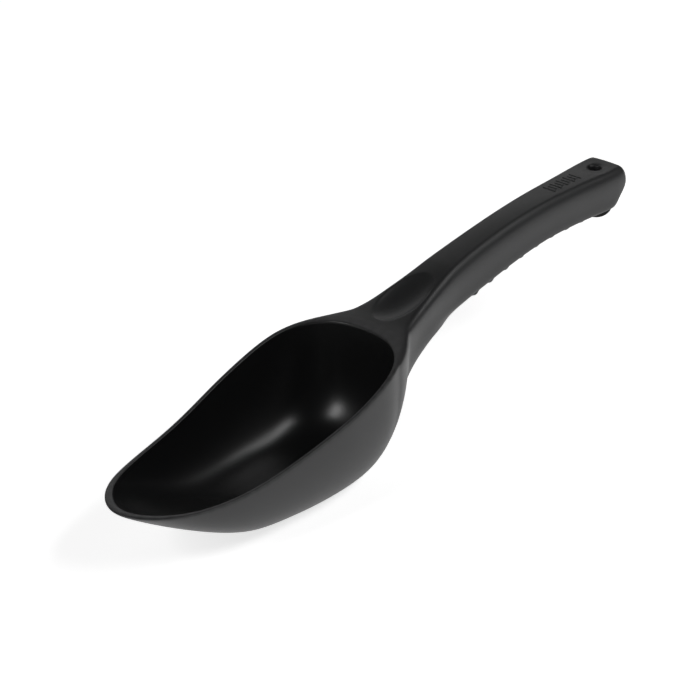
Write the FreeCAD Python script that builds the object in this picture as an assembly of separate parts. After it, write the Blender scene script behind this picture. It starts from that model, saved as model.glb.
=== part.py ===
import FreeCAD, Part
import math
import os
from FreeCAD import Vector

# Ice scoop, millimetres. +X runs from the lip to the handle's end, +Y across, +Z up.
# The origin is the centre of the small flat under the bowl that the scoop stands on.

# ---- Bowl ----
BOWL_LENGTH = 138.0         # inside, from the lip to the back of the rim
BOWL_WIDTH = 61.4           # inside, at the widest place
RIM_HEIGHT = 30.0           # rim above the table at the lip
REAR_RISE = 22.2            # how much higher the rim is at the back than at the lip
BASE_FROM_LIP = 82.0        # centre of the standing flat, behind the lip's inner edge
SIDE_WALL = 1.9             # plastic at the sides and the back of the rim
LIP_WALL = 3.6              # plastic at the lip, where the scoop digs
FLOOR_WALL = 2.4            # plastic under the floor
BASE_FLAT = 0.35            # height missing from the round underside at the standing flat

# ---- Handle ----
HANDLE_LENGTH = 163.0       # from the back of the rim to the end, along the top
HANDLE_RISE = 20.8          # top of the handle above the back of the rim
GRIP_START = 49.0           # where the open channel begins, behind the back of the rim
HANDLE_WALL = 2.2           # plastic of the channel's roof and sides
END_LEAN = 2.4              # how far the end face leans out, down to the bevel
END_FACE = 8.2              # height of the end face, above the bevel
END_CORNER = 4.5            # rounding of the end, seen from above
TOP_ROUND = 1.8             # rounding along the handle's top edges

# ---- Thumb recess and hang hole ----
THUMB_FROM_RIM = 24.0       # centre of the recess, behind the back of the rim
THUMB_LENGTH = 31.0
THUMB_WIDTH = 17.0
THUMB_DEPTH = 2.2
HOLE_FROM_END = 8.0
HOLE_RADIUS = 3.0
HOLE_CHAMFER = 0.5
DISH_RADIUS = 8.4           # shallow dish round the hole
DISH_DEPTH = 0.6
BOSS_WALL = 1.8             # wall of the tube round the hole, inside the handle

# ---- Inside the handle ----
RIB_PITCH = 18.0
RIB_THICKNESS = 1.6
PEG_RADIUS = 1.6
PEG_LENGTH = 5.0
SOCKET_WALL = 1.4

# ---- Grip ----
CLEARANCE = 0.15            # between the channel's walls and what goes up into it
PEG_CLEARANCE = 0.05        # round the pegs and the plugs
STANDOFF = 0.4              # between the carrier and the ribs above it
PAD_THICKNESS = 2.4         # soft skin, below the carrier
PAD_PROUD = 0.3             # how far the skin stands below the channel's edge
CARRIER_THICKNESS = 2.0
RIDGE_COUNT = 8
RIDGE_PITCH = 10.5
RIDGE_RADIUS = 3.6
RIDGE_HEIGHT = 2.3          # how far a ridge stands out of the skin
RIDGE_START = 14.0          # first ridge, behind the start of the grip
RIDGE_SETBACK = 0.6         # between a ridge's end and the skin's side
HEEL_FROM_END = 11.0
HEEL_RADIUS = 9.0
HEEL_HEIGHT = 1.9           # how far the heel stands out of the skin
KEY_RADIUS = 1.5            # plugs that anchor the skin in the carrier
KEY_HEAD = 2.3
KEY_HEAD_HEIGHT = 1.0

# The rim seen from above, one side: share of the bowl's length, share of its half width.
OUTLINE = ((0.0, 0.0), (0.055, 0.435), (0.195, 0.745), (0.45, 0.915), (0.77, 1.0), (0.925, 0.79),
           (0.985, 0.44), (1.0, 0.0))

# The rim seen from the side: share of the bowl's length, share of the rear rise.
RIM_LINE = ((-0.05, 0.0), (0.2, -0.05), (0.4, 0.07), (0.66, 0.47), (0.875, 0.86), (1.0, 1.0))

# How the wall turns into the floor: exponent of the curve at the lip, the sides and the back.
LIP_CURVE = 1.9
SIDE_CURVE = 3.4
BACK_CURVE = 3.9
LIP_DRAFT = 0.4             # how much further the wall leans in at the lip, as a share
LIP_SPREAD = 1.6            # how quickly the lip's curve and draft fade towards the middle

# Cross-sections of the neck and the handle: distance behind the rim, height of the top as a share
# of the handle's rise, half width at the top, half width at the bottom, depth, bottom rounding.
SECTIONS = (
    (-20.0, -0.16, 22.0, 15.0, 26.0, 9.0),
    (-12.0, -0.1, 25.4, 18.5, 31.5, 11.0),
    (-5.0, -0.03, 24.2, 19.0, 35.0, 12.0),
    (2.0, 0.03, 19.7, 17.4, 34.5, 12.0),
    (9.0, 0.075, 16.2, 15.0, 30.5, 10.5),
    (17.0, 0.16, 13.7, 13.1, 26.0, 8.5),
    (27.0, 0.3, 11.5, 11.8, 22.6, 6.5),
    (38.0, 0.455, 9.7, 10.6, 20.0, 4.0),
    (49.0, 0.605, 8.4, 9.8, 18.6, 2.0),
    (70.0, 0.79, 7.5, 9.3, 18.0, 1.4),
    (92.0, 0.925, 7.3, 9.2, 17.1, 1.2),
    (112.0, 0.99, 7.6, 9.3, 16.8, 1.2),
    (135.0, 1.0, 8.6, 10.1, 17.2, 1.2),
    (152.0, 0.995, 9.8, 11.2, 17.4, 1.2),
    (170.0, 0.99, 10.2, 11.4, 17.4, 1.2),
)

LEVELS = 14                 # horizontal rings that shape the bowl
RING_POINTS = 48            # points round each ring
MARGIN = 6.0                # how far a cutting solid runs past what it cuts
SPAN = 90.0                 # half width of cutting solids

REAR_X = BOWL_LENGTH - BASE_FROM_LIP
LIP_X = -BASE_FROM_LIP
END_X = REAR_X + HANDLE_LENGTH
REAR_Z = RIM_HEIGHT + REAR_RISE
HOLE_X = END_X - HOLE_FROM_END


def smooth(table, place, column=1):
    """A smooth curve through the table's points, read at one place."""
    last = len(table) - 1
    place = min(max(place, table[0][0]), table[last][0])
    i = max(k for k in range(last) if table[k][0] <= place)

    def slope(k):
        a, b = max(k - 1, 0), min(k + 1, last)
        return (table[b][column] - table[a][column]) / (table[b][0] - table[a][0])

    step = table[i + 1][0] - table[i][0]
    t = (place - table[i][0]) / step
    return ((2 * t**3 - 3 * t**2 + 1) * table[i][column] + (t**3 - 2 * t**2 + t) * step * slope(i)
            + (3 * t**2 - 2 * t**3) * table[i + 1][column] + (t**3 - t**2) * step * slope(i + 1))


def top_line():
    """Heights of the rim and of the handle's top, from the lip to the end."""
    rim = [(LIP_X + share * BOWL_LENGTH, RIM_HEIGHT + rise * REAR_RISE) for share, rise in RIM_LINE]
    handle = [(REAR_X + s[0], REAR_Z + s[1] * HANDLE_RISE) for s in SECTIONS if s[0] > 5]
    return tuple(rim + handle)


TOP_LINE = top_line()


def top_z(x):
    return smooth(TOP_LINE, x)


# ---- Bowl ----
def unit_outline():
    """Points round the rim, in shares of the bowl's length and half width."""
    far_side = [Vector(share, width, 0) for share, width in OUTLINE]
    near_side = [Vector(p.x, -p.y, 0) for p in far_side[-2:0:-1]]
    curve = Part.BSplineCurve()
    curve.interpolate(far_side + near_side, PeriodicFlag=True)
    return curve.discretize(RING_POINTS + 1)[:-1]


UNIT_OUTLINE = unit_outline()


def wall_share(drop, exponent):
    """How much of the rim's size is left at a drop from 0, the rim, to 1, the floor."""
    return (1 - drop**exponent) ** (1 / exponent)


def ring_point(share, width, z, wall, lip_wall, floor_z):
    """Where the wall under one point of the rim passes the height z."""
    rim_x = LIP_X - lip_wall + share * (BOWL_LENGTH + lip_wall + wall)
    rim_y = width * (BOWL_WIDTH / 2 + wall)
    back = max(rim_x, 0) / (REAR_X + wall)
    front = (min(rim_x, 0) / (LIP_X - lip_wall)) ** LIP_SPREAD
    exponent = SIDE_CURVE + (BACK_CURVE - SIDE_CURVE) * back**2 + (LIP_CURVE - SIDE_CURVE) * front

    def along(drop):
        return rim_x * wall_share(drop, exponent) * (1 - LIP_DRAFT * front * drop)

    low, high = 0.0, 1.0
    if z < top_z(rim_x):
        for _ in range(40):
            drop = (low + high) / 2
            here = top_z(along(drop)) * (1 - drop) + floor_z * drop
            low, high = (drop, high) if here > z else (low, drop)
    return Vector(along(low), rim_y * wall_share(low, exponent), z)


def bowl_solid(wall, lip_wall, bottom_z):
    """The bowl's outer or inner form, from its flat bottom to above the rim."""
    floor_z = bottom_z - BASE_FLAT
    top = REAR_Z + MARGIN
    turns = [k / RING_POINTS for k in range(RING_POINTS + 1)]
    rings = []
    for level in range(LEVELS + 1):
        z = bottom_z + (top - bottom_z) * (level / LEVELS) ** 2
        points = [ring_point(p.x, p.y, z, wall, lip_wall, floor_z) for p in UNIT_OUTLINE]
        ring = Part.BSplineCurve()
        ring.interpolate(points, PeriodicFlag=True, Parameters=turns)
        rings.append(Part.Wire(ring.toShape()))
    return Part.makeLoft(rings, True, False)


def above_top_line():
    """Everything above the rim and the handle's top."""
    start, end = LIP_X - LIP_WALL - MARGIN, END_X + 2 * MARGIN
    steps = 60
    xs = [start + (end - start) * k / steps for k in range(steps + 1)]
    curve = Part.BSplineCurve()
    curve.interpolate([Vector(x, -SPAN, top_z(x)) for x in xs])
    high = REAR_Z + HANDLE_RISE + 10 * MARGIN
    corners = [Vector(end, -SPAN, top_z(end)), Vector(end, -SPAN, high), Vector(start, -SPAN, high),
               Vector(start, -SPAN, top_z(start))]
    edges = [curve.toShape()] + [Part.makeLine(a, b) for a, b in zip(corners, corners[1:])]
    return Part.Face(Part.Wire(edges)).extrude(Vector(0, 2 * SPAN, 0))


# ---- Handle ----
def section_sizes(distance):
    """Top height, half widths, depth and bottom rounding at a distance behind the rim."""
    return [smooth(SECTIONS, distance, column) for column in (2, 3, 4, 5)]


def half_width_at(distance, z):
    """The handle's half width at one height."""
    wide_top, wide_bottom, depth, _ = section_sizes(distance)
    share = (top_z(REAR_X + distance) - z) / depth
    return wide_top + (wide_bottom - wide_top) * share


def bottom_z(distance):
    return top_z(REAR_X + distance) - section_sizes(distance)[2]


def section_wire(distance, high, low, inset, rounding):
    """One cross-section with straight sides and rounded bottom corners."""
    x = REAR_X + distance
    wide_high = half_width_at(distance, high) - inset
    wide_low = half_width_at(distance, low) - inset
    lean = math.atan2(wide_high - wide_low, high - low)
    reach = rounding * math.tan((math.pi / 2 - lean) / 2)
    side = Vector(0, math.sin(lean), math.cos(lean))
    corner = Vector(x, wide_low, low)
    up = corner + side * reach
    flat = corner - Vector(0, reach, 0)
    centre = flat + Vector(0, 0, rounding)
    out = corner - centre
    middle = centre + out * (rounding / out.Length)

    def mirrored(p):
        return Vector(p.x, -p.y, p.z)

    peak = Vector(x, wide_high, high)
    return Part.Wire([
        Part.makeLine(mirrored(peak), peak), Part.makeLine(peak, up), Part.Arc(up, middle, flat).toShape(),
        Part.makeLine(flat, mirrored(flat)),
        Part.Arc(mirrored(flat), mirrored(middle), mirrored(up)).toShape(),
        Part.makeLine(mirrored(up), mirrored(peak)),
    ])


def neck_and_handle():
    wires = []
    for distance, _, _, _, depth, rounding in SECTIONS:
        top = top_z(REAR_X + distance)
        wires.append(section_wire(distance, top + MARGIN / 2, top - depth, 0, rounding))
    return Part.makeLoft(wires, True, False)


def end_waste(face_inset=0.0, bevel_inset=0.0):
    """What is cut off the handle's end: everything past the leaning face and the bevel."""
    top = top_z(END_X)
    lean = math.atan2(END_LEAN, END_FACE)
    face_x = END_X + END_LEAN - face_inset / math.cos(lean)
    bevel_x = END_X + END_LEAN - bevel_inset * math.sqrt(2)
    drop = (face_x - bevel_x) / (1 + math.tan(lean))
    knee = Vector(bevel_x + drop, -SPAN, top - END_FACE + drop)
    high = Vector(knee.x - 3 * END_LEAN, -SPAN, knee.z + 3 * END_FACE)
    toe = Vector(knee.x - 3 * END_FACE, -SPAN, knee.z - 3 * END_FACE)
    far_low, far_high = Vector(END_X + SPAN, -SPAN, toe.z), Vector(END_X + SPAN, -SPAN, high.z)
    outline = Part.makePolygon([high, knee, toe, far_low, far_high, high])
    return Part.Face(outline).extrude(Vector(0, 2 * SPAN, 0))


def rounded_end(solid, face_inset=0.0, bevel_inset=0.0, corner=END_CORNER):
    """Cut the handle's end to its side profile and round its two upright corners."""
    solid = solid.cut(end_waste(face_inset, bevel_inset))
    corners = []
    for edge in solid.Edges:
        box = edge.BoundBox
        if box.XMin > END_X - face_inset - END_LEAN and box.ZLength > 1 and box.YLength < 3 and (
                box.ZMax > top_z(END_X) - END_FACE + 0.5):
            corners.append(edge)
    return solid.makeFillet(corner, corners)


def channel(clearance=0.0):
    """The hollow in the handle, open downwards, or what fills it with a clearance all round."""
    inset = HANDLE_WALL + clearance
    distances = [GRIP_START + clearance] + [s[0] for s in SECTIONS if s[0] > GRIP_START]
    wires = []
    for distance in distances:
        roof = top_z(REAR_X + distance) - inset
        wires.append(section_wire(distance, roof, bottom_z(distance) - MARGIN, inset, 0.4))
    return rounded_end(Part.makeLoft(wires, True, False), inset, -MARGIN, END_CORNER - HANDLE_WALL / 2)


def above_edge(offset):
    """Everything above a line that runs the offset above the channel's edge and inside its bevel."""
    start = REAR_X + GRIP_START - MARGIN
    bevel_x = END_X + END_LEAN - offset * math.sqrt(2)
    bevel_z = top_z(END_X) - END_FACE
    steps = 40
    xs = [start + (END_X + MARGIN - start) * k / steps for k in range(steps + 1)]
    line = [Vector(x, -SPAN, bottom_z(x - REAR_X) + offset) for x in xs]
    line = [p for p in line if p.z > bevel_z - (bevel_x - p.x)]
    last = line[-1]
    gap = last.z - bevel_z + bevel_x - last.x
    meet = Vector(last.x + gap, -SPAN, last.z)
    high = REAR_Z + HANDLE_RISE + SPAN
    curve = Part.BSplineCurve()
    curve.interpolate(line[:-1] + [meet])
    corners = [meet, Vector(bevel_x + high - bevel_z, -SPAN, high), Vector(start, -SPAN, high), line[0]]
    edges = [curve.toShape()] + [Part.makeLine(p, q) for p, q in zip(corners, corners[1:])]
    return Part.Face(Part.Wire(edges)).extrude(Vector(0, 2 * SPAN, 0))


def cylinder_up(x, radius, low, high):
    return Part.makeCylinder(radius, high - low, Vector(x, 0, low), Vector(0, 0, 1))


def below_roof(x):
    """Where an upright rib, tube or peg can end inside the roof's plastic."""
    return top_z(x) - HANDLE_WALL / 2


def rib_places():
    """Cross ribs, evenly spaced between the start of the channel and the hang hole."""
    first, last = REAR_X + GRIP_START + RIB_PITCH / 2, HOLE_X - HOLE_RADIUS - BOSS_WALL - RIB_THICKNESS * 2
    count = int((last - first) / RIB_PITCH) + 1
    return [first + k * RIB_PITCH for k in range(count)]


def peg_places():
    """Pegs stand halfway between every second pair of ribs."""
    ribs = rib_places()
    return [(a + b) / 2 for a, b in list(zip(ribs, ribs[1:]))[::2]]


def key_places():
    """The skin's plugs stand in the bays that have no peg, either side of the middle."""
    ribs = rib_places()
    return [(a + b) / 2 for a, b in list(zip(ribs, ribs[1:]))[1::2]]


def carrier_top(x):
    return bottom_z(x - REAR_X) + PAD_THICKNESS + CARRIER_THICKNESS


def hang_hole():
    """The bore, its chamfer and the shallow dish round it."""
    top = top_z(HOLE_X)
    rim = top - DISH_DEPTH
    sphere = (DISH_RADIUS**2 + DISH_DEPTH**2) / (2 * DISH_DEPTH)
    bore = cylinder_up(HOLE_X, HOLE_RADIUS, 0, top + MARGIN)
    chamfer = Part.makeCone(HOLE_RADIUS, HOLE_RADIUS + HOLE_CHAMFER + MARGIN, HOLE_CHAMFER + MARGIN,
                            Vector(HOLE_X, 0, rim - HOLE_CHAMFER), Vector(0, 0, 1))
    dish = Part.makeSphere(sphere, Vector(HOLE_X, 0, rim + sphere))
    return bore, chamfer.common(cylinder_up(HOLE_X, DISH_RADIUS, 0, top + MARGIN)), dish


def thumb_recess():
    """An ellipsoid pressed into the deck, tilted to follow its slope."""
    x = REAR_X + THUMB_FROM_RIM
    half = THUMB_LENGTH / 2
    slope = math.atan2(top_z(x + half) - top_z(x - half), THUMB_LENGTH)
    ball = Part.makeSphere(1.0)
    stretch = FreeCAD.Matrix(half / math.cos(math.radians(10)), 0, 0, 0, 0, THUMB_WIDTH / 2, 0, 0,
                             0, 0, THUMB_DEPTH, 0, 0, 0, 0, 1)
    ball = ball.transformGeometry(stretch)
    ball.rotate(Vector(0, 0, 0), Vector(0, 1, 0), -math.degrees(slope))
    ball.translate(Vector(x, 0, (top_z(x + half) + top_z(x - half)) / 2))
    return ball


def handle_insides():
    """Ribs, peg sockets and the tube round the hang hole, down to the carrier."""
    walls, bores = [], []
    for x in rib_places():
        low = carrier_top(x) + STANDOFF
        half = half_width_at(x - REAR_X, low) - HANDLE_WALL / 2
        walls.append(Part.makeBox(RIB_THICKNESS, 2 * half, below_roof(x) - low,
                                  Vector(x - RIB_THICKNESS / 2, -half, low)))
    for x in peg_places():
        low = carrier_top(x) + STANDOFF
        walls.append(cylinder_up(x, PEG_RADIUS + SOCKET_WALL, low, below_roof(x)))
        bores.append(cylinder_up(x, PEG_RADIUS, low - 1, low + PEG_LENGTH))
    tube = cylinder_up(HOLE_X, HOLE_RADIUS + BOSS_WALL, bottom_z(HOLE_X - REAR_X), below_roof(HOLE_X))
    walls.append(tube.cut(end_waste()))
    return walls, bores


def top_edges(handle):
    """The handle's top outline, without the edge that is buried in the bowl."""
    found = []
    for edge in handle.Edges:
        middle = edge.valueAt((edge.FirstParameter + edge.LastParameter) / 2)
        if abs(middle.z - top_z(middle.x)) < 0.02 and middle.x > REAR_X + SECTIONS[0][0] + 1:
            found.append(edge)
    return found


def scoop_body():
    """Bowl, neck and hollow handle in one moulding."""
    sky = above_top_line()
    handle = rounded_end(neck_and_handle().cut(sky))
    handle = handle.makeFillet(TOP_ROUND, top_edges(handle))
    handle = handle.cut(channel())
    bore, chamfer, dish = hang_hole()
    walls, bores = handle_insides()
    handle = handle.fuse(walls).cut(bores + [bore, chamfer, dish])
    body = bowl_solid(SIDE_WALL, LIP_WALL, 0.0).cut(sky).fuse(handle)
    body = body.cut(bowl_solid(0.0, 0.0, FLOOR_WALL)).cut(thumb_recess())
    return body.removeSplitter()


def hole_for_tube():
    """The hole in the grip that the hang-hole tube passes down through."""
    return cylinder_up(HOLE_X, HOLE_RADIUS + BOSS_WALL + CLEARANCE, 0, top_z(HOLE_X))


def grip_carrier():
    """The hard strip with its pegs, and the holes that the skin's plugs fill."""
    plate = channel(CLEARANCE).common(above_edge(PAD_THICKNESS))
    plate = plate.cut(above_edge(PAD_THICKNESS + CARRIER_THICKNESS))
    pegs = [cylinder_up(x, PEG_RADIUS - PEG_CLEARANCE, carrier_top(x) - 1, carrier_top(x) + PEG_LENGTH)
            for x in peg_places()]
    holes = [cylinder_up(x, KEY_RADIUS, bottom_z(x - REAR_X), carrier_top(x) + 1) for x in key_places()]
    return plate.fuse(pegs).cut(holes).cut(hole_for_tube())


def ridge(x):
    """A finger ridge across the skin, with round ends."""
    distance = x - REAR_X
    edge = bottom_z(distance)
    half = half_width_at(distance, edge) - HANDLE_WALL - CLEARANCE - RIDGE_RADIUS - RIDGE_SETBACK
    z = edge - PAD_PROUD - RIDGE_HEIGHT + RIDGE_RADIUS
    bar = Part.makeCylinder(RIDGE_RADIUS, 2 * half, Vector(x, -half, z), Vector(0, 1, 0))
    return [bar, Part.makeSphere(RIDGE_RADIUS, Vector(x, -half, z)),
            Part.makeSphere(RIDGE_RADIUS, Vector(x, half, z))]


def heel():
    """The bulge that stops the hand at the end of the grip."""
    distance = HANDLE_LENGTH - HEEL_FROM_END
    edge = bottom_z(distance)
    half = half_width_at(distance, edge) - HANDLE_WALL - CLEARANCE - RIDGE_SETBACK
    z = edge - PAD_PROUD - HEEL_HEIGHT + HEEL_RADIUS
    return Part.makeCylinder(HEEL_RADIUS, 2 * half, Vector(REAR_X + distance, -half, z), Vector(0, 1, 0))


def soft_grip():
    """The soft skin with its ridges and heel, and the plugs that hold it in the carrier."""
    first = REAR_X + GRIP_START + RIDGE_START
    last = END_X - HEEL_FROM_END - HEEL_RADIUS - RIDGE_RADIUS
    bumps = [heel()]
    for k in range(RIDGE_COUNT):
        place = first + k * RIDGE_PITCH
        if place < last:                # a short handle has room for fewer ridges
            bumps += ridge(place)
    skin = channel(CLEARANCE).common(above_edge(-PAD_PROUD)).fuse(bumps)
    skin = skin.cut(above_edge(PAD_THICKNESS)).cut(hole_for_tube())
    keys = []
    for x in key_places():
        top = carrier_top(x)
        keys.append(cylinder_up(x, KEY_RADIUS - PEG_CLEARANCE, top - CARRIER_THICKNESS - 1, top + 0.2))
        keys.append(cylinder_up(x, KEY_HEAD, top + 0.1, top + KEY_HEAD_HEIGHT))
    return skin.fuse(keys)


def main():
    os.makedirs("parts", exist_ok=True)
    pieces = {"scoop_body": scoop_body(), "grip_carrier": grip_carrier(), "soft_grip": soft_grip()}
    for name, shape in pieces.items():
        print(name, "valid" if shape.isValid() else "NOT VALID", len(shape.Solids), "solid",
              round(shape.Volume), "mm3")
        shape.exportStep("parts/" + name + ".step")


main()
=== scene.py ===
# %% [markdown]
# # Ice scoop
# A one-hand ice scoop in black plastic. The imported model gives the frame: every piece is in metres, +X runs
# from the lip to the handle's end, +Y goes across, +Z up, and the origin is the middle of the small flat that
# the bowl stands on. This first cell loads that frame. The finished pieces have to stay inside it.

# %% Load the frame
import math

import bmesh
import bpy
import numpy as np
from mathutils import Matrix, Vector


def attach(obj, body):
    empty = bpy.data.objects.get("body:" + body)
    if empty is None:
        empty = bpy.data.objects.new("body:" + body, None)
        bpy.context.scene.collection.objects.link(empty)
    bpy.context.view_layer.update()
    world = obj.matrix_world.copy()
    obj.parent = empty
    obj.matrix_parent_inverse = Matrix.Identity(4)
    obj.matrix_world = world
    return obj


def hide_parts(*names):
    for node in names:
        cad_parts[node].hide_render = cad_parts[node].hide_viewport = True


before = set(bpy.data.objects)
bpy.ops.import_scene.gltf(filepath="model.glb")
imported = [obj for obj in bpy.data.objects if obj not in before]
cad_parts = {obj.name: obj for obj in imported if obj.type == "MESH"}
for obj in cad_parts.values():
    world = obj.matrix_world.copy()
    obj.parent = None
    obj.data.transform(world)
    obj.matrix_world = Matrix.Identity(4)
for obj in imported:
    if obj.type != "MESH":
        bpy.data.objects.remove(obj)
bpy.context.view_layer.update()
MM = 0.001

# %% [markdown]
# ## Camera
# A long object is best shown from well back with a long lens, so that the near lip isn't blown up against
# the far handle. The camera stands in front and to one side, about 28 degrees above the table, and keeps its
# verticals upright.

# %% Camera
EYE = Vector((-0.6533, -0.6087, 0.5292))
TURN, TILT = math.radians(49.0), math.radians(27.5)
LENS = 133.7
look = Vector((math.sin(TURN) * math.cos(TILT), math.cos(TURN) * math.cos(TILT), -math.sin(TILT)))
camera_data = bpy.data.cameras.new("product_camera")
camera_data.lens = LENS
camera_data.sensor_width = 36.0
camera_data.clip_start, camera_data.clip_end = 0.05, 20.0
camera = bpy.data.objects.new("product_camera", camera_data)
camera.location = EYE
camera.rotation_euler = look.to_track_quat("-Z", "Y").to_euler()
bpy.context.scene.collection.objects.link(camera)
bpy.context.scene.camera = camera
print("camera distance", round(EYE.length, 3), "lens", LENS)

# %% [markdown]
# ## The scoop's sizes
# The bowl, the neck and the handle are one moulding, so its new skin is one closed mesh. It follows the same
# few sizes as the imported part, in millimetres here because they read better, and is scaled to metres once.
# The rim and the handle's top share one line seen from the side, which gives every point its height.

# %% Sizes and the two smooth curves
BOWL_LENGTH, BOWL_HALF = 138.0, 30.7
BASE_FROM_LIP, RIM_HEIGHT, REAR_RISE, HANDLE_RISE = 82.0, 30.0, 22.2, 20.8
SIDE_WALL, LIP_WALL, FLOOR_WALL, BASE_FLAT = 2.1, 4.2, 2.4, 0.35
LIP_CURVE, SIDE_CURVE, BACK_CURVE, LIP_DRAFT, LIP_SPREAD = 1.9, 3.4, 3.9, 0.4, 1.6
HIP, HIP_X, HIP_LONG = 0.7, 38.0, 14.0          # the outside swells a little where the neck leaves it,
HIP_DROP, HIP_HIGH = 0.42, 0.3                  # most at this place and this share of the wall's height
HANDLE_LENGTH, GRIP_START, HANDLE_WALL = 163.0, 49.0, 2.2
HOLE_FROM_END, HOLE_RADIUS = 8.0, 3.0
RIM_OUTLINE = ((0.0, 0.0), (0.055, 0.435), (0.195, 0.745), (0.45, 0.915), (0.77, 1.0), (0.925, 0.79),
               (0.985, 0.44), (1.0, 0.0))
RIM_LINE = ((-0.05, 0.0), (0.2, -0.05), (0.4, 0.07), (0.66, 0.47), (0.875, 0.86), (1.0, 1.0))
# distance behind the rim, height as a share of the handle's rise, half width at the top and at the bottom,
# depth, and rounding of the bottom corners
SECTIONS = (
    (2.0, 0.03, 19.7, 17.4, 34.5, 12.0), (9.0, 0.075, 16.2, 15.0, 30.5, 10.5),
    (17.0, 0.16, 13.8, 13.2, 26.0, 8.5), (27.0, 0.3, 11.8, 12.0, 22.6, 6.5),
    (38.0, 0.455, 10.0, 10.9, 20.1, 4.0), (49.0, 0.605, 8.8, 10.1, 19.0, 2.0),
    (70.0, 0.79, 7.9, 9.6, 18.7, 1.4), (92.0, 0.925, 7.7, 9.5, 17.7, 1.2),
    (112.0, 0.99, 8.0, 9.6, 17.0, 1.2), (135.0, 1.0, 8.8, 10.2, 17.2, 1.2),
    (152.0, 0.995, 9.8, 11.2, 17.4, 1.2), (170.0, 0.99, 10.2, 11.4, 17.4, 1.2),
)
REAR_X, LIP_X = BOWL_LENGTH - BASE_FROM_LIP, -BASE_FROM_LIP
REAR_Z = RIM_HEIGHT + REAR_RISE
HOLE_X = REAR_X + HANDLE_LENGTH - HOLE_FROM_END


def smooth(table, place, column=1):
    """A smooth curve through a table's rows, read at one place."""
    last = len(table) - 1
    place = min(max(place, table[0][0]), table[last][0])
    i = max(k for k in range(last) if table[k][0] <= place)

    def slope(k):
        a, b = max(k - 1, 0), min(k + 1, last)
        return (table[b][column] - table[a][column]) / (table[b][0] - table[a][0])

    step = table[i + 1][0] - table[i][0]
    t = (place - table[i][0]) / step
    return ((2 * t**3 - 3 * t**2 + 1) * table[i][column] + (t**3 - 2 * t**2 + t) * step * slope(i)
            + (3 * t**2 - 2 * t**3) * table[i + 1][column] + (t**3 - t**2) * step * slope(i + 1))


TOP_LINE = ([(LIP_X + a * BOWL_LENGTH, RIM_HEIGHT + b * REAR_RISE) for a, b in RIM_LINE]
            + [(REAR_X + s[0], REAR_Z + s[1] * HANDLE_RISE) for s in SECTIONS if s[0] > 5])


def top_z(x):
    return smooth(TOP_LINE, x)


print("handle end", REAR_X + HANDLE_LENGTH, "top there", round(top_z(REAR_X + HANDLE_LENGTH), 1))

# %% [markdown]
# ## The rim's outline
# Seen from above the rim is a long leaf: pointed at the lip, widest near the back. Eight points a side and a
# closed cubic spline give it. The spline's bends come from one small set of linear equations, which keeps
# the curve free of the flat spots that joined arcs would leave on a glossy wall.

# %% A closed spline through the rim's points
COLUMNS = 64


def closed_spline(points, count):
    """Evenly spread points on a smooth closed curve through the given ones."""
    p = np.array(points, float)
    following = np.roll(p, -1, axis=0)
    h = np.linalg.norm(following - p, axis=1)
    n = len(p)
    system, right = np.zeros((n, n)), np.zeros((n, 2))
    for i in range(n):
        before = h[i - 1]
        system[i, i - 1] += before
        system[i, i] += 2 * (before + h[i])
        system[i, (i + 1) % n] += h[i]
        right[i] = 6 * ((following[i] - p[i]) / h[i] - (p[i] - p[i - 1]) / before)
    bend = np.linalg.solve(system, right)
    fine = []
    for i in range(n):
        a, b = bend[i], bend[(i + 1) % n]
        for k in range(40):
            t = k / 40 * h[i]
            u = h[i] - t
            fine.append(a * u**3 / (6 * h[i]) + b * t**3 / (6 * h[i]) + (p[i] / h[i] - a * h[i] / 6) * u
                        + (following[i] / h[i] - b * h[i] / 6) * t)
    fine = np.array(fine + [fine[0]])
    run = np.concatenate([[0], np.cumsum(np.linalg.norm(np.diff(fine, axis=0), axis=1))])
    at = np.linspace(0, run[-1], count, endpoint=False)
    return np.stack([np.interp(at, run, fine[:, 0]), np.interp(at, run, fine[:, 1])], 1)


one_side = [(a * BOWL_LENGTH, b * BOWL_HALF) for a, b in RIM_OUTLINE]
other_side = [(x, -y) for x, y in one_side[-2:0:-1]]
leaf = closed_spline(one_side + other_side, COLUMNS)
leaf = [(x / BOWL_LENGTH, y / BOWL_HALF) for x, y in leaf]
BACK = COLUMNS // 2
print("rim points", len(leaf), "back of the rim", [round(v, 3) for v in leaf[BACK]])

# %% [markdown]
# ## Growing the skin ring by ring
# A modeller would start from the rim's loop of edges, and pull new loops out of it: inwards and down for the
# bowl's inside, outwards and down for its outside. Each pull is one extrude of a whole loop, and then the new
# loop's points move to where the wall is. Two loops close together at an edge keep it crisp once the mesh is
# subdivided, and loops far apart leave it soft.

# %% Helpers that pull and place a loop


def loop_edges(ring, closed=True):
    pairs = list(zip(ring, ring[1:] + ring[:1])) if closed else list(zip(ring, ring[1:]))
    return [next(e for e in a.link_edges if e.other_vert(a) is b) for a, b in pairs]


def pull(bm, ring, places):
    """Extrude a closed loop and put the new loop's points at the given places."""
    made = bmesh.ops.extrude_edge_only(bm, edges=loop_edges(ring))["geom"]
    fresh = {v for v in made if isinstance(v, bmesh.types.BMVert)}
    new = [next(e.other_vert(v) for e in v.link_edges if e.other_vert(v) in fresh) for v in ring]
    for vert, place in zip(new, places):
        vert.co = place
    return new


def wall_share(drop, exponent):
    return max(0.0, 1 - drop**exponent) ** (1 / exponent)


def rim_place(share, width, wall):
    """A point of the rim, from 0 on its inner edge to 1 on its outer edge."""
    x = LIP_X - LIP_WALL * wall + share * (BOWL_LENGTH + (LIP_WALL + SIDE_WALL) * wall)
    return x, width * (BOWL_HALF + SIDE_WALL * wall)


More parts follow.
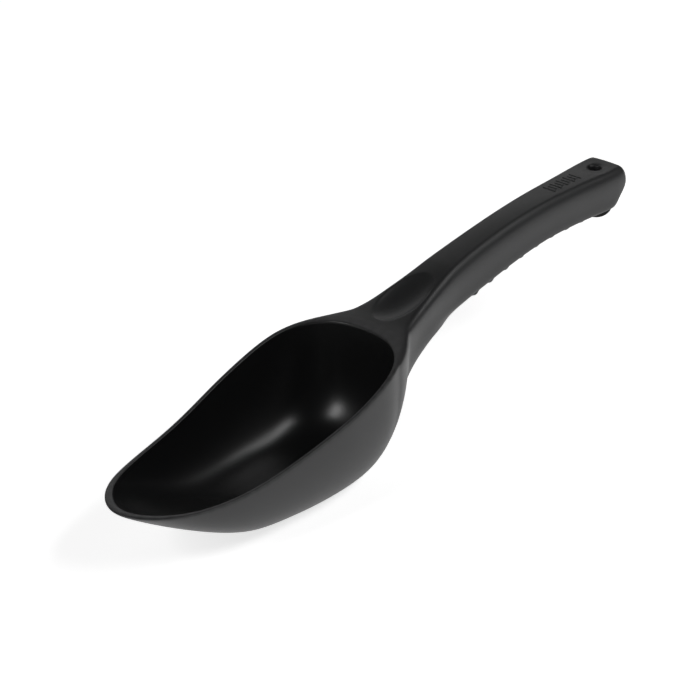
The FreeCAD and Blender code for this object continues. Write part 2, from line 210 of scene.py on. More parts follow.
def wall_ring(wall, drop, lower=0.0):
    """The loop of the wall at a drop from 0, the rim, to 1, the floor; lower moves it down a little."""
    floor_z = FLOOR_WALL * (1 - wall) - BASE_FLAT
    places = []
    for share, width in leaf:
        rim_x, rim_y = rim_place(share, width, wall)
        back = max(rim_x, 0) / (REAR_X + SIDE_WALL * wall)
        front = (min(rim_x, 0) / (LIP_X - LIP_WALL * wall)) ** LIP_SPREAD
        exponent = SIDE_CURVE + (BACK_CURVE - SIDE_CURVE) * back**2 + (LIP_CURVE - SIDE_CURVE) * front
        left = wall_share(drop, exponent)
        x = rim_x * left * (1 - LIP_DRAFT * front * drop)
        z = top_z(x) * (1 - drop) + floor_z * drop - lower
        hip = HIP * wall * math.exp(-((x - HIP_X) / HIP_LONG) ** 2 - ((drop - HIP_DROP) / HIP_HIGH) ** 2)
        y = rim_y * left + math.copysign(min(hip, abs(rim_y) * 0.1), rim_y)
        places.append(Vector((x, y, max(z, FLOOR_WALL * (1 - wall)))))
    return places


# %% The bowl, inside and out
DROPS = (0.1, 0.28, 0.47, 0.64, 0.78, 0.87, 0.93, 0.965, 0.985, 0.995, 0.999)
skin = bmesh.new()
land = bmesh.ops.create_circle(skin, cap_ends=False, segments=COLUMNS, radius=1.0)["verts"]
land = sorted(land, key=lambda v: -math.atan2(v.co.y, v.co.x) % math.tau)
start = next(i for i, v in enumerate(land) if v.co.x < -0.999)
land = land[start:] + land[:start]
for vert, place in zip(land, wall_ring(0.17, 0.0)):
    vert.co = place

inside = [pull(skin, land, wall_ring(0.0, 0.0, 0.3))]
inside.append(pull(skin, inside[-1], wall_ring(0.0, 0.03)))
for drop in DROPS:
    inside.append(pull(skin, inside[-1], wall_ring(0.0, drop)))
outside = [pull(skin, land, wall_ring(0.74, 0.0))]
outside.append(pull(skin, outside[-1], wall_ring(1.0, 0.0, 0.45)))
for drop in DROPS:
    outside.append(pull(skin, outside[-1], wall_ring(1.0, drop)))


def close_with_pole(bm, ring, onto=lambda p: p):
    """Pull one small loop, fill it and put a pole in its middle; onto moves the new points to the surface."""
    middle = sum((v.co for v in ring), Vector()) / len(ring)
    small = pull(bm, ring, [onto(middle.lerp(v.co, 0.45)) for v in ring])
    face = bmesh.ops.contextual_create(bm, geom=loop_edges(small))["faces"]
    for pole in bmesh.ops.poke(bm, faces=face)["verts"]:
        pole.co = onto(pole.co)


close_with_pole(skin, inside[-1])
close_with_pole(skin, outside[-1])
print("bowl faces", len(skin.faces))

# %% [markdown]
# ## Neck and handle
# On the real moulding the handle flows out of the bowl's back. So a window is opened in the outside wall
# behind the bowl, and its edge, a closed loop, is pulled along the handle station by station. Every station
# is a section with a flat top, two tight corners, slightly spreading sides and a bottom that is round at the
# neck and flat where the grip sits.

# %% Open the window behind the bowl
REACH = 6               # columns on each side of the back that the neck takes in
BOTTOM_RING = 6         # the outside ring that the neck's underside starts from
rows = outside[:BOTTOM_RING + 1]
window = []
for upper, lower in zip(rows, rows[1:]):
    for c in range(BACK - REACH, BACK + REACH):
        corners = {upper[c], upper[c + 1], lower[c], lower[c + 1]}
        window.append(next(f for f in upper[c].link_faces if set(f.verts) == corners))
across = range(BACK - REACH, BACK + REACH + 1)
loop = [rows[0][c] for c in across]
loop += [ring[BACK + REACH] for ring in rows[1:-1]]
loop += [rows[-1][c] for c in reversed(across)]
loop += [ring[BACK - REACH] for ring in reversed(rows[1:-1])]
bmesh.ops.delete(skin, geom=window, context="FACES")
WIDE, SIDE = 2 * REACH + 1, BOTTOM_RING - 1
FACING = 1 if rows[0][BACK - REACH].co.y < 0 else -1
print("window loop", len(loop), "starts on the", "-Y side" if FACING > 0 else "+Y side")

# %% The handle's section
CORNER = 2.3            # distance of the two tight loops from the top corner
CORNER_IN = 1.9         # the same, across the top
CROWN = 0.5             # how much the top is domed
END_SPARE = 1.1         # what subdivision takes off the end face
END_LEAN, END_FACE = 2.4, 8.2           # how far the end face leans out, and its height above the bevel
BULGE = (0.0, 0.42, 0.12, -0.16, 0.0)   # how the side swells below its top corner and dips at mid height


def end_x(z, inset=0.0):
    """Where the handle's end face is at one height: leaning out, then a bevel back in."""
    drop = top_z(REAR_X + HANDLE_LENGTH) - z
    lean = END_LEAN * min(drop, END_FACE) / END_FACE
    bevel = max(0.0, drop - END_FACE)
    return REAR_X + HANDLE_LENGTH + END_SPARE + lean - bevel - inset


def bevel_z(x):
    """Height of the end's bevel at a place along the handle."""
    end = REAR_X + HANDLE_LENGTH
    return top_z(end) - END_FACE - (end + END_LEAN - x)


def sizes(distance):
    return [smooth(SECTIONS, distance, column) for column in (2, 3, 4, 5)]


def underside(distance):
    return top_z(REAR_X + distance) - sizes(distance)[2]


def outline_half(distance, inset=0.0):
    """Points down one side of a section: top edge, corner, side, bottom corner, bottom middle."""
    wide_top, wide_bottom, depth, rounding = sizes(distance)
    top = top_z(REAR_X + distance)
    low = top - depth
    side = Vector((wide_bottom - wide_top, -depth)).normalized()
    corner = Vector((wide_bottom, low))
    reach = rounding * math.tan((math.pi / 2 - math.atan2(wide_bottom - wide_top, depth)) / 2)
    start, flat = corner - side * reach, corner - Vector((reach, 0))
    arc = []
    for k in range(9):
        t = k / 8
        arc.append(start * (1 - t) ** 2 + corner * 2 * t * (1 - t) + flat * t**2)
    line = [Vector((wide_top, top)) + side * CORNER, *arc, Vector((0, low))]
    run = [0.0]
    for a, b in zip(line, line[1:]):
        run.append(run[-1] + (b - a).length)

    def along(s):
        k = next(i for i in range(1, len(run)) if run[i] >= s - 1e-9)
        t = (s - run[k - 1]) / max(run[k] - run[k - 1], 1e-9)
        return line[k - 1].lerp(line[k], t)

    # at the neck the points are evenly spread, on the handle they hug the bottom corner and the wall's edge
    total = run[-1]
    steps = SIDE + REACH
    even = [total * k / steps for k in range(steps + 1)]
    turn = run[1] + 0.15 * reach
    hug = [turn * k / (SIDE - 1) for k in range(SIDE)]
    hug.append(run[-2] - 0.1 * reach)
    inner = run[-1] - (wide_bottom - HANDLE_WALL)
    hug += [inner + (total - inner) * k / (REACH - 1) for k in range(REACH)]
    share = min(max((distance - 22) / 25, 0), 1)
    share = share * share * (3 - 2 * share)
    points = [along(a * (1 - share) + b * share) for a, b in zip(even, hug)]
    for k, swell in enumerate(BULGE):
        points[k].x += swell * (0.4 + 0.6 * share)
    return points, wide_top, top


def section(distance, inset=None, squeeze=1.0, dip=0.0):
    """A whole section in the loop's order. Near the end, inset keeps it inside the leaning end face."""
    half, wide_top, top = outline_half(distance)
    row = []
    for k in range(WIDE):
        y = (wide_top - CORNER_IN) * (k / REACH - 1)
        row.append(Vector((y, top - CROWN * (y / wide_top) ** 2 - dip)))
    right, bottom = half[:SIDE], half[SIDE:]
    low = bottom + [Vector((-p.x, p.y)) for p in bottom[-2::-1]]
    flat = row + right + low + [Vector((-p.x, p.y)) for p in reversed(right)]
    places = []
    for p in flat:
        x = REAR_X + distance
        if inset is not None:
            x = min(x, end_x(p.y, inset))
        places.append(Vector((x, p.x * squeeze * FACING, p.y)))
    return places


print("section points", len(section(60.0)), "loop", len(loop))
assert len(section(60.0)) == len(loop)

# %% Pull the handle
root = [v.co.copy() for v in loop]
first = section(9.0)
ring = loop
for t in (0.09, 0.17, 0.27, 0.42, 0.62, 0.82):
    places = [a.lerp(b, t) for a, b in zip(root, first)]
    for k in range(WIDE, len(places)):
        places[k].y = root[k].y + (first[k].y - root[k].y) * t**1.5
    ring = pull(skin, ring, places)

# distance behind the rim, how far inside the end face, narrowing, and dip of the top at the end
STATIONS = [(d, None, 1.0, 0.0) for d in (9, 12.5, 16, 19.5, 23, 26.5, 30, 33.5, 37, 40.5, 44, 47.4, 48.9,
                                          50.2, 54, 60, 67, 75, 84, 93, 102, 111, 120, 129, 137)]
STATIONS += [(144.0, 14.0, 1.0, 0.0), (148.5, 10.5, 1.0, 0.0), (151.9, 7.7, 1.0, 0.0), (155.0, 5.6, 1.0, 0.0),
             (158.6, 3.9, 1.0, 0.0), (162.9, 2.2, 0.985, 0.0), (165.2, 0.3, 0.95, 0.1),
             (165.8, -0.3, 0.82, 0.8)]
GRIP_FIRST, HOLE_FIRST, GRIP_LAST = 12, 27, 30
handle = []
for station in STATIONS:
    ring = pull(skin, ring, section(*station))
    handle.append(ring)



def on_end(point):
    return Vector((end_x(point.z, -0.3), point.y, point.z))


middle_z = sum(v.co.z for v in ring) / len(ring)
cap = [on_end(Vector((0, v.co.y * 0.75, middle_z + (v.co.z - middle_z) * 0.8))) for v in ring]
close_with_pole(skin, pull(skin, ring, cap), on_end)
print("handle loops", len(handle), "body faces", len(skin.faces))

# %% [markdown]
# ## The channel under the handle
# The handle is hollow and open below, which keeps a thick moulding from sinking in as it cools, and the grip
# fits into it. The faces of the underside between the two side walls are extruded as one region, and the
# region is moved up to just under the top, so the walls come out at an even thickness.

# %% Raise the channel's roof
WALL_COLUMN = 2 * REACH + 1 + SIDE + 1          # the loop's point at the inner edge of the side wall
MIDDLE_COLUMN = WALL_COLUMN + REACH - 1
known = {}
for k in range(GRIP_FIRST, GRIP_LAST + 1):
    for column in range(WALL_COLUMN, WALL_COLUMN + 2 * REACH - 1):
        known[handle[k][column]] = (k, column)
roof_faces = [f for f in skin.faces if all(v in known for v in f.verts)]
spots = {tuple(round(c, 4) for c in v.co): place for v, place in known.items()}
made = bmesh.ops.extrude_face_region(skin, geom=roof_faces)["geom"]
bmesh.ops.delete(skin, geom=roof_faces, context="FACES")
roof = {}
for v in made:
    if isinstance(v, bmesh.types.BMVert):
        k, column = spots[tuple(round(c, 4) for c in v.co)]
        distance = STATIONS[k][0]
        wide_top = sizes(distance)[0]
        share = (column - MIDDLE_COLUMN) / (REACH - 1)
        z = top_z(REAR_X + distance) - HANDLE_WALL
        x = REAR_X + distance if k < GRIP_LAST else end_x(z, HANDLE_WALL)
        v.co = (x, -share * (wide_top - HANDLE_WALL) * FACING * STATIONS[k][2], z)
        roof[(k, column)] = v
print("roof faces", len(roof_faces), "roof points", len(roof))

# %% [markdown]
# ## The hang hole
# A hole in a subdivided skin is made of whole faces: a block of faces is taken out above and below, the
# twelve points round each gap go onto a circle, and the two circles are joined by bridging, which leaves one
# clean wall. Inside the channel a tube stands round the hole, and it is pulled from the same circle.

# %% Cut the hole and stand its tube


def gap_loop(bm, points):
    """Take out the block of faces between rows of points, and return the loop round the gap, in order."""
    block = {v for line in points for v in line}
    faces = [f for f in bm.faces if all(v in block for v in f.verts)]
    rim = points[0][:] + [line[-1] for line in points[1:-1]] + points[-1][::-1]
    rim += [line[0] for line in reversed(points[1:-1])]
    bmesh.ops.delete(bm, geom=faces, context="FACES")
    return rim


def on_circle(ring, radius, heights):
    """Places on a circle round the hang hole for a loop's points, evenly spread."""
    begin = math.atan2(ring[0].co.y, ring[0].co.x - HOLE_X)
    second = math.atan2(ring[1].co.y, ring[1].co.x - HOLE_X)
    way = 1 if (second - begin) % math.tau < math.pi else -1
    places = []
    for k in range(len(ring)):
        angle = begin + way * k * math.tau / len(ring)
        x = HOLE_X + radius * math.cos(angle)
        places.append(Vector((x, radius * math.sin(angle), heights(x))))
    return places


def tube_foot(x):
    """The tube ends at the underside, or at the end's bevel where that is higher."""
    return max(underside(HOLE_X - REAR_X), bevel_z(x)) + 0.15


TUBE_RADIUS = HOLE_RADIUS + 1.8
hole_lines = range(HOLE_FIRST, HOLE_FIRST + 3)
top_gap = gap_loop(skin, [handle[k][REACH - 2:REACH + 3] for k in hole_lines])
for vert, place in zip(top_gap, on_circle(top_gap, HOLE_RADIUS + 0.55, lambda x: top_z(x) - 0.05)):
    vert.co = place
top_wall = pull(skin, top_gap, on_circle(top_gap, HOLE_RADIUS, lambda x: top_z(x) - 0.9))
roof_gap = gap_loop(skin, [[roof[(k, MIDDLE_COLUMN + n)] for n in range(-2, 3)] for k in hole_lines])
for vert, place in zip(roof_gap, on_circle(roof_gap, TUBE_RADIUS, lambda x: top_z(x) - HANDLE_WALL)):
    vert.co = place
tube = pull(skin, roof_gap, on_circle(roof_gap, TUBE_RADIUS, lambda x: tube_foot(x) + 0.5))
tube = pull(skin, tube, on_circle(tube, TUBE_RADIUS - 0.3, tube_foot))
tube = pull(skin, tube, on_circle(tube, HOLE_RADIUS + 0.3, tube_foot))
tube = pull(skin, tube, on_circle(tube, HOLE_RADIUS, lambda x: tube_foot(x) + 0.5))
bmesh.ops.bridge_loops(skin, edges=loop_edges(top_wall) + loop_edges(tube))
open_edges = [e for e in skin.edges if not e.is_manifold]
print("hole loops", len(top_gap), len(roof_gap), "open edges left", len(open_edges))

# %% [markdown]
# ## Subdivide, then press in the small shapes
# Two rounds of subdivision turn the cage into the moulded surface. After that the mesh is fine enough to move
# points directly: the thumb recess is an ellipse pressed into the neck, a shallow dish lies round the hang
# hole, and a low step runs round the back of the rim. Two numbers are kept on every point as well: one says
# how far it is inside the polished bowl, the other how close it is to an edge that wears.

# %% The finished body


def to_object(bm, name, material, levels=2):
    """A mesh object from a bmesh in millimetres, subdivided, with the result applied and shaded smooth."""
    bmesh.ops.recalc_face_normals(bm, faces=bm.faces)
    mesh = bpy.data.meshes.new(name + "_cage")
    bm.to_mesh(mesh)
    piece = bpy.data.objects.new(name, mesh)
    bpy.context.scene.collection.objects.link(piece)
    if levels:
        rounds = piece.modifiers.new("subdivision", "SUBSURF")
        rounds.levels = rounds.render_levels = levels
        graph = bpy.context.evaluated_depsgraph_get()
        fine = bpy.data.meshes.new_from_object(piece.evaluated_get(graph))
        piece.modifiers.clear()
        piece.data = fine
        bpy.data.meshes.remove(mesh)
    piece.data.name = name
    piece.data.materials.clear()
    if material:
        piece.data.materials.append(material)
    piece.data.polygons.foreach_set("use_smooth", [True] * len(piece.data.polygons))
    return piece


def blend(low, high, value):
    t = min(max((value - low) / (high - low), 0.0), 1.0)
    return t * t * (3 - 2 * t)


body = to_object(skin, "scoop_skin", None)
THUMB_X, THUMB_HALF, THUMB_SIDE, THUMB_DEPTH = REAR_X + 24.0, 16.0, 9.0, 2.7
DISH_RADIUS, DISH_DEPTH = 8.4, 0.55
rim_line = np.array([rim_place(a, b, 0.0) for a, b in leaf])
work = bmesh.new()
work.from_mesh(body.data)
polish = work.verts.layers.float.new("polish")
wear = work.verts.layers.float.new("wear")
work.normal_update()
for v in work.verts:
    x, y, z = v.co
    top = top_z(x)
    rim = float(np.min(np.hypot(rim_line[:, 0] - x, rim_line[:, 1] - y)))
    if x > REAR_X - 12 and abs(z - top) < 1.0 and v.normal.z > 0.55:
        oval = ((x - THUMB_X) / THUMB_HALF) ** 2 + (y / THUMB_SIDE) ** 2
        if oval < 1:
            v.co.z -= THUMB_DEPTH * (1 - oval) ** 0.8
        ring_distance = math.hypot(x - HOLE_X, y)
        if HOLE_RADIUS + 0.3 < ring_distance < DISH_RADIUS:
            v.co.z -= DISH_DEPTH * (1 - (ring_distance / DISH_RADIUS) ** 2)
        v.co.z += 0.12 * (1 - blend(3.0, 6.5, rim)) * blend(REAR_X - 12, REAR_X - 4, x)
    inner_half = BOWL_HALF + 0.4
    in_bowl = LIP_X - 0.6 < x < REAR_X + 0.6 and abs(y) < inner_half and z < top - 0.25
    middle = Vector((min(max(x, LIP_X * 0.5), REAR_X * 0.4), 0.0, RIM_HEIGHT + 6.0))
    v[polish] = 1.0 if in_bowl and (middle - v.co).dot(v.normal) > 0 else 0.0
    v[wear] = math.exp(-((z - top) / 1.2) ** 2) * (1 - blend(1.0, 4.5, rim)) if x < REAR_X + 4 else 0.0
work.to_mesh(body.data)
work.free()
print("body triangles", sum(len(p.vertices) - 2 for p in body.data.polygons))

# %% [markdown]
# ## A small raised pattern by the hang hole
# Real scoops carry a moulded mark here. A generic row of short bars stands in for it. Each one is a cube that
# is stretched, bevelled and sunk into the handle's top, so that only a quarter of a millimetre shows.

# %% Raised bars
BAR_COUNT, BAR_PITCH, BAR_FIRST = 9, 2.3, 122.0
bars = bmesh.new()
for k in range(BAR_COUNT):
    distance = BAR_FIRST + k * BAR_PITCH
    x = REAR_X + distance
    tilt = math.atan2(top_z(x + 1) - top_z(x - 1), 2)
    length = 6.4 if k % 2 == 0 else 4.6
    before = set(bars.verts)
    made = bmesh.ops.create_cube(bars, size=1.0)["verts"]
    bmesh.ops.scale(bars, vec=(1.0, length, 0.9), verts=made)
    edges = list({e for v in made for e in v.link_edges})
    bmesh.ops.bevel(bars, geom=edges, offset=0.22, segments=3, profile=0.5, affect="EDGES", material=-1)
    made = [v for v in bars.verts if v not in before]
    bmesh.ops.rotate(bars, cent=(0, 0, 0), matrix=Matrix.Rotation(-tilt, 3, "Y"), verts=made)
    bmesh.ops.translate(bars, vec=(x, 0, top_z(x) - 0.22), verts=made)
print("bars", BAR_COUNT)

# %% [markdown]
# ## The soft skin of the grip
# Below the handle sits a skin of soft rubber with finger ridges across it and a heel that stops the hand. It
# is one closed strip: a rounded loop that is pulled along the channel in short steps, so that every ridge
# gets its own row of points, and closed at both ends. It stands a little proud of the channel's edge, and
# the ridges' ends reach out a little over that edge, so a few of them show from the side.

# %% The strip's section
STRIP_HALF, STRIP_STEP, STRIP_START = 7, 1.75, GRIP_START + 0.4
GAP, PROUD, PAD = 0.12, 0.45, 3.2
RIDGE_START, RIDGE_PITCH, RIDGE_COUNT, RIDGE_HALF, RIDGE_HEIGHT = 14.0, 10.5, 8, 3.4, 1.95
HEEL_PLACE, HEEL_HALF, HEEL_HEIGHT = 151.0, 8.0, 2.3
OVERHANG = 1.8          # how far a ridge's end reaches out, over the edge of the channel's wall


def bump(distance, y, half):
    """How far the ridges and the heel stand out at a point of the strip."""
    out = 0.0
    side = max(0.0, abs(y) - (half - 1.6)) / 2.0
    for k in range(RIDGE_COUNT):
        along = (distance - GRIP_START - RIDGE_START - k * RIDGE_PITCH) / RIDGE_HALF
        high = RIDGE_HEIGHT * (1 - 0.055 * k)
        out = max(out, high * max(0.0, 1 - along**2 - side**2) ** 0.55)
    along = (distance - HEEL_PLACE) / HEEL_HALF
    return max(out, HEEL_HEIGHT * max(0.0, 1 - along**2 - side**2 * 0.9) ** 0.6)


def strip_section(distance):
    x = REAR_X + distance
    half = sizes(distance)[1] - HANDLE_WALL - GAP
    low = max(underside(distance), bevel_z(x)) - PROUD
    high = max(underside(distance), bevel_z(x)) + PAD
    places = []
    for k in range(-STRIP_HALF, STRIP_HALF + 1):
        y = half * k / STRIP_HALF
        lift = 0.5 if abs(k) == STRIP_HALF else 0.0
        out = bump(distance, y, half)
        if abs(k) == STRIP_HALF - 1:
            y += math.copysign(OVERHANG * out / RIDGE_HEIGHT, y)
        places.append(Vector((x, y, low + lift - out)))
    places.append(Vector((x, half + 0.02, low + 1.3)))
    for k in range(STRIP_HALF, -STRIP_HALF - 1, -1):
        places.append(Vector((x, (half - 0.1) * k / STRIP_HALF, high)))
    places.append(Vector((x, -half - 0.02, low + 1.3)))
    return places


# %% Pull the strip along the channel
strip = bmesh.new()
first_places = strip_section(STRIP_START)
ring = bmesh.ops.create_circle(strip, cap_ends=False, segments=len(first_places), radius=1.0)["verts"]
ring = sorted(ring, key=lambda v: math.atan2(v.co.y, v.co.x) % math.tau)
for vert, place in zip(ring, first_places):
    vert.co = place
strip_rings = [ring]
STRIP_LENGTH = 163.4 - STRIP_START
steps = int(STRIP_LENGTH / STRIP_STEP)
for k in range(1, steps + 1):
    places = strip_section(STRIP_START + STRIP_LENGTH * k / steps)
    strip_rings.append(pull(strip, strip_rings[-1], places))
for edge_ring, way in ((strip_rings[0], -1), (strip_rings[-1], 1)):
    middle = sum((v.co for v in edge_ring), Vector()) / len(edge_ring)
    small = pull(strip, edge_ring, [v.co.lerp(middle, 0.12) + Vector((0.25 * way, 0, 0)) for v in edge_ring])
    bmesh.ops.contextual_create(strip, geom=loop_edges(small))

# the gap for the tube round the hang hole, above and below
SLEEVE = TUBE_RADIUS + 0.15
line = [k for k, r in enumerate(strip_rings) if abs(r[STRIP_HALF].co.x - HOLE_X) < SLEEVE + 0.1]
lower = [[strip_rings[k][STRIP_HALF + n] for n in range(-3, 4)] for k in line]
upper_middle = 3 * STRIP_HALF + 2
upper = [[strip_rings[k][upper_middle + n] for n in range(-3, 4)] for k in line]


lower_gap, upper_gap = gap_loop(strip, lower), gap_loop(strip, upper)
heights = {v: v.co.z for v in lower_gap + upper_gap}
for gap in (lower_gap, upper_gap):
    for vert, place in zip(gap, on_circle(gap, SLEEVE, lambda x: 0.0)):
        vert.co = (place.x, place.y, heights[vert])
bmesh.ops.bridge_loops(strip, edges=loop_edges(lower_gap) + loop_edges(upper_gap))
print("strip rings", len(strip_rings), "open edges", sum(1 for e in strip.edges if not e.is_manifold))
grip = to_object(strip, "soft_grip_skin", None)

# %% [markdown]
# ## Finishes
# The scoop is one black plastic with two surfaces. Outside and on the handle the mould is finely grained, so
# the plastic is satin and shows a soft sparkle of texture. Inside the bowl the mould is polished, so the same
# plastic turns deep black with soft reflections. One material does both, and the numbers kept on the points
# say where each belongs. The grip is a rubber with a dry, velvety grain.

# %% A helper that builds node chains


class Finish:
    """A principled material and short calls that add and join nodes."""

    def __init__(self, name):
        self.material = bpy.data.materials.new(name)
        self.material.use_nodes = True
        self.tree = self.material.node_tree
        self.shader = self.tree.nodes["Principled BSDF"]
        self.place = self.add("ShaderNodeTexCoord").outputs["Object"]

    def add(self, kind, **settings):
        node = self.tree.nodes.new(kind)
        for key, value in settings.items():
            setattr(node, key, value)
        return node

    def join(self, source, target):
        if isinstance(source, (int, float)):
            target.default_value = source
        else:
            self.tree.links.new(source, target)

    def noise(self, scale, detail=3.0, rough=0.5, stretch=None):
        node = self.add("ShaderNodeTexNoise")
        node.inputs["Scale"].default_value = scale
        node.inputs["Detail"].default_value = detail
        node.inputs["Roughness"].default_value = rough
        place = self.place
        if stretch:
            mapping = self.add("ShaderNodeMapping")
            mapping.inputs["Scale"].default_value = stretch
            self.join(self.place, mapping.inputs["Vector"])
            place = mapping.outputs["Vector"]
        self.join(place, node.inputs["Vector"])
        return node.outputs["Fac"]

    def spread(self, value, low, high, to_low=0.0, to_high=1.0):
        node = self.add("ShaderNodeMapRange")
        for name, number in zip(("From Min", "From Max", "To Min", "To Max"), (low, high, to_low, to_high)):
            node.inputs[name].default_value = number
        self.join(value, node.inputs["Value"])
        return node.outputs["Result"]

    def math(self, operation, a, b):
        node = self.add("ShaderNodeMath", operation=operation)
        self.join(a, node.inputs[0])
        self.join(b, node.inputs[1])
        return node.outputs[0]

    def between(self, amount, a, b):
        """Mix two numbers."""
        node = self.add("ShaderNodeMix", data_type="FLOAT")
        self.join(amount, node.inputs[0])
        self.join(a, node.inputs[2])
        self.join(b, node.inputs[3])
        return node.outputs[0]

    def colours(self, amount, a, b):
        node = self.add("ShaderNodeMix", data_type="RGBA")
        self.join(amount, node.inputs[0])
        for value, socket in ((a, node.inputs[6]), (b, node.inputs[7])):
            if isinstance(value, tuple):
                socket.default_value = (*value, 1.0)
            else:
                self.join(value, socket)
        return node.outputs[2]

    def kept(self, name):
        return self.add("ShaderNodeAttribute", attribute_name=name).outputs["Fac"]

    def bumps(self, height, distance, strength=1.0, below=None):
        node = self.add("ShaderNodeBump")
        node.inputs["Distance"].default_value = distance
        self.join(strength, node.inputs["Strength"])
        self.join(height, node.inputs["Height"])
        if below is not None:
            self.join(below, node.inputs["Normal"])
        return node.outputs["Normal"]


# %% Black plastic, grained outside and polished inside
plastic = Finish("black_polypropylene")
inside_amount, worn = plastic.kept("polish"), plastic.kept("wear")
grain = plastic.noise(2300.0, 2.0, 0.6)
pits = plastic.noise(5200.0, 1.0, 0.5)
flow = plastic.noise(26.0, 3.0, 0.55)
scuffs = plastic.spread(plastic.noise(60.0, 4.0, 0.7, stretch=(1.0, 14.0, 14.0)), 0.60, 0.74)
outer = plastic.colours(flow, (0.0150, 0.0152, 0.0157), (0.0195, 0.0197, 0.0205))
outer = plastic.colours(plastic.spread(grain, 0.35, 0.7, 0.0, 0.35), outer, (0.028, 0.0283, 0.029))
outer = plastic.colours(plastic.math("MULTIPLY", worn, plastic.spread(flow, 0.3, 0.7, 0.25, 0.7)), outer,
                        (0.058, 0.058, 0.06))
inner = plastic.colours(flow, (0.0085, 0.0086, 0.0089), (0.0105, 0.0106, 0.011))
inner = plastic.colours(plastic.math("MULTIPLY", scuffs, 0.05), inner, (0.02, 0.02, 0.021))
plastic.join(plastic.colours(inside_amount, outer, inner), plastic.shader.inputs["Base Color"])
satin = plastic.math("ADD", plastic.spread(flow, 0.3, 0.7, 0.42, 0.48),
                     plastic.spread(grain, 0.3, 0.7, -0.03, 0.03))
gloss = plastic.math("ADD", plastic.spread(flow, 0.3, 0.7, 0.285, 0.31),
                     plastic.math("MULTIPLY", scuffs, 0.025))
plastic.join(plastic.between(inside_amount, satin, gloss), plastic.shader.inputs["Roughness"])
grained = plastic.spread(inside_amount, 0.0, 1.0, 0.55, 0.0)
mould = plastic.bumps(plastic.math("ADD", grain, plastic.math("MULTIPLY", pits, 0.5)), 0.00006, grained)
ripple = plastic.noise(140.0, 2.0, 0.5)
plastic.join(plastic.bumps(ripple, 0.00005, 0.35, mould), plastic.shader.inputs["Normal"])
plastic.shader.inputs["IOR"].default_value = 1.49
plastic.shader.inputs["Specular IOR Level"].default_value = 0.43
print("plastic nodes", len(plastic.tree.nodes))

# %% Soft rubber with a dry grain
rubber = Finish("grip_rubber")
dust = rubber.noise(38.0, 4.0, 0.6)
skin_grain = rubber.noise(3000.0, 3.0, 0.6)
cells = rubber.add("ShaderNodeTexVoronoi", feature="F1")
cells.inputs["Scale"].default_value = 1100.0
rubber.join(rubber.place, cells.inputs["Vector"])
dusted = rubber.colours(rubber.spread(dust, 0.35, 0.75), (0.0065, 0.0065, 0.0068), (0.0110, 0.0110, 0.0115))
rubber.join(dusted, rubber.shader.inputs["Base Color"])
rubber.join(rubber.spread(dust, 0.3, 0.7, 0.68, 0.80), rubber.shader.inputs["Roughness"])
studs = rubber.bumps(rubber.spread(cells.outputs["Distance"], 0.0, 0.6, 1.0, 0.0), 0.00008, 0.5)
rubber.join(rubber.bumps(skin_grain, 0.00004, 0.5, studs), rubber.shader.inputs["Normal"])
rubber.shader.inputs["Specular IOR Level"].default_value = 0.18
rubber.shader.inputs["Sheen Weight"].default_value = 0.01
rubber.shader.inputs["Sheen Roughness"].default_value = 0.5
print("rubber nodes", len(rubber.tree.nodes))

# %% Grey plastic of the hidden carrier
carrier = Finish("carrier_plastic")
swirl = carrier.noise(45.0, 4.0, 0.6)
fine = carrier.noise(1800.0, 2.0, 0.6)
carrier.join(carrier.colours(carrier.spread(swirl, 0.3, 0.7), (0.030, 0.031, 0.033), (0.045, 0.046, 0.048)),
             carrier.shader.inputs["Base Color"])
carrier.join(carrier.spread(swirl, 0.3, 0.7, 0.5, 0.6), carrier.shader.inputs["Roughness"])
carrier.join(carrier.bumps(fine, 0.00005, 0.4), carrier.shader.inputs["Normal"])
print("carrier nodes", len(carrier.tree.nodes))

# %% [markdown]
# ## Put the pieces on the frame
# The pieces were built in millimetres around the part's own origin, so bringing them onto the frame is one
# scaling of their points. The body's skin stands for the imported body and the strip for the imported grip. The
# carrier is hidden inside the handle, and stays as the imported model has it.

# %% Scale, slot and ride
bar_piece = to_object(bars, "raised_bars", plastic.material, levels=0)
for piece, material in ((body, plastic.material), (grip, rubber.material), (bar_piece, None)):
    for vert in piece.data.vertices:
        vert.co *= MM
    if material:
        piece.data.materials.append(material)
    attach(piece, "root")
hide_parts("scoop_body")
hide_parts("soft_grip")
carrier_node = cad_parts["grip_carrier"]
carrier_node.data.materials.clear()
carrier_node.data.materials.append(carrier.material)
print("pieces", body.name, grip.name, bar_piece.name, "and the packed", carrier_node.name)

# %% [markdown]
# ## Table and light
# Black plastic is all reflections, so the light shapes it more than its colour does. The table is pale,
# glows a little, and lights the sides from below. The room is a plain gradient, bright at the foot of the
# walls behind the scoop and dark overhead, so that the polished inside keeps its depth. A long soft box
# beside the camera lays a bright line along the bowl's floor, a small one on the other side answers it at
# the back of the bowl, and a wide one behind shines off the handle's flat top.

# %% Table
table_mesh = bpy.data.meshes.new("table")
table_work = bmesh.new()
bmesh.ops.create_grid(table_work, x_segments=1, y_segments=1, size=4.0)
table_work.to_mesh(table_mesh)
table = bpy.data.objects.new("table", table_mesh)
bpy.context.scene.collection.objects.link(table)
paper = Finish("white_paper")
mottled = paper.colours(paper.noise(300.0), (0.90, 0.90, 0.90), (0.93, 0.93, 0.93))
paper.join(mottled, paper.shader.inputs["Base Color"])
paper.shader.inputs["Roughness"].default_value = 0.9
paper.shader.inputs["Specular IOR Level"].default_value = 0.1
paper.shader.inputs["Emission Color"].default_value = (1.0, 1.0, 1.0, 1.0)
paper.shader.inputs["Emission Strength"].default_value = 0.72
table.data.materials.append(paper.material)
print("table", table.dimensions.x, "m wide")

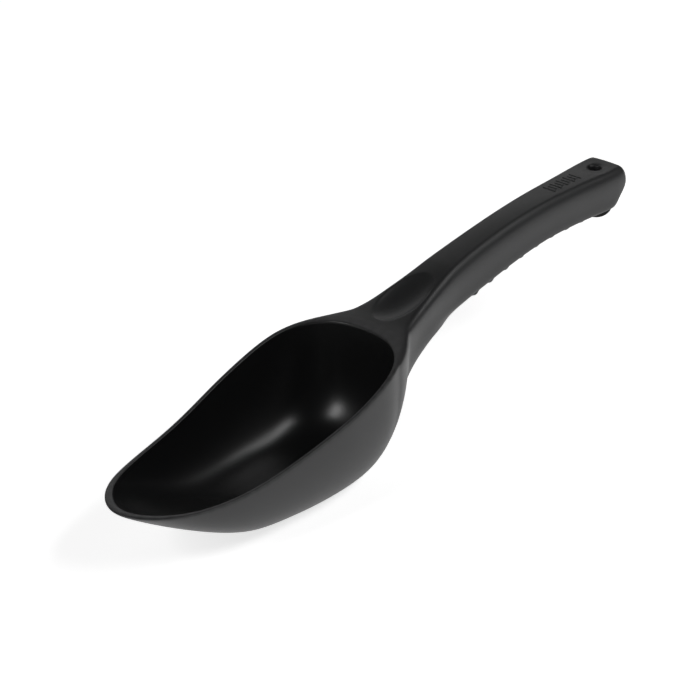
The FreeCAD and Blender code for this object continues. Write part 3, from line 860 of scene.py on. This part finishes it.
# %% Soft boxes and a dim room
WALL, CEILING = 1.5, 0.05
room = bpy.data.worlds.new("dim_room")
room.use_nodes = True
bpy.context.scene.world = room
background = room.node_tree.nodes["Background"]
sky = room.node_tree
coordinates = sky.nodes.new("ShaderNodeTexCoord")
split = sky.nodes.new("ShaderNodeSeparateXYZ")
height = sky.nodes.new("ShaderNodeMapRange")
height.interpolation_type = "SMOOTHSTEP"
behind = sky.nodes.new("ShaderNodeVectorMath")
behind.operation = "DOT_PRODUCT"
behind.inputs[1].default_value = (0.74, 0.67, 0.0)
facing = sky.nodes.new("ShaderNodeMapRange")
walls = sky.nodes.new("ShaderNodeMath")
walls.operation = "MULTIPLY"
total = sky.nodes.new("ShaderNodeMath")
total.operation = "ADD"
total.inputs[1].default_value = CEILING
for name, by_height, by_side in (("From Min", -0.05, -0.5), ("From Max", 0.86, 0.8),
                                 ("To Min", WALL, 0.30), ("To Max", 0.0, 1.0)):
    height.inputs[name].default_value = by_height
    facing.inputs[name].default_value = by_side
sky.links.new(coordinates.outputs["Generated"], split.inputs[0])
sky.links.new(split.outputs["Z"], height.inputs["Value"])
sky.links.new(coordinates.outputs["Generated"], behind.inputs[0])
sky.links.new(behind.outputs["Value"], facing.inputs["Value"])
sky.links.new(height.outputs["Result"], walls.inputs[0])
sky.links.new(facing.outputs["Result"], walls.inputs[1])
sky.links.new(walls.outputs[0], total.inputs[0])
sky.links.new(total.outputs[0], background.inputs["Strength"])


def soft_box(name, azimuth, elevation, distance, size, power):
    """An area light that looks at the bowl from a direction given in degrees."""
    a, e = math.radians(azimuth), math.radians(elevation)
    target = Vector((0.03, 0.0, 0.03))
    place = target + distance * Vector((math.cos(a) * math.cos(e), math.sin(a) * math.cos(e), math.sin(e)))
    data = bpy.data.lights.new(name, "AREA")
    data.shape = "RECTANGLE"
    data.size, data.size_y = size
    data.energy = power
    lamp = bpy.data.objects.new(name, data)
    lamp.location = place
    lamp.rotation_euler = (target - place).to_track_quat("-Z", "Y").to_euler()
    bpy.context.scene.collection.objects.link(lamp)
    return lamp


soft_box("right_box", -63.0, 48.0, 1.5, (1.15, 0.46), 8.4)
soft_box("left_box", 168.0, 33.0, 1.5, (0.38, 0.6), 6.5)
soft_box("back_box", 43.0, 25.0, 1.6, (1.3, 0.5), 2.1)
bpy.context.scene.view_settings.view_transform = "Standard"
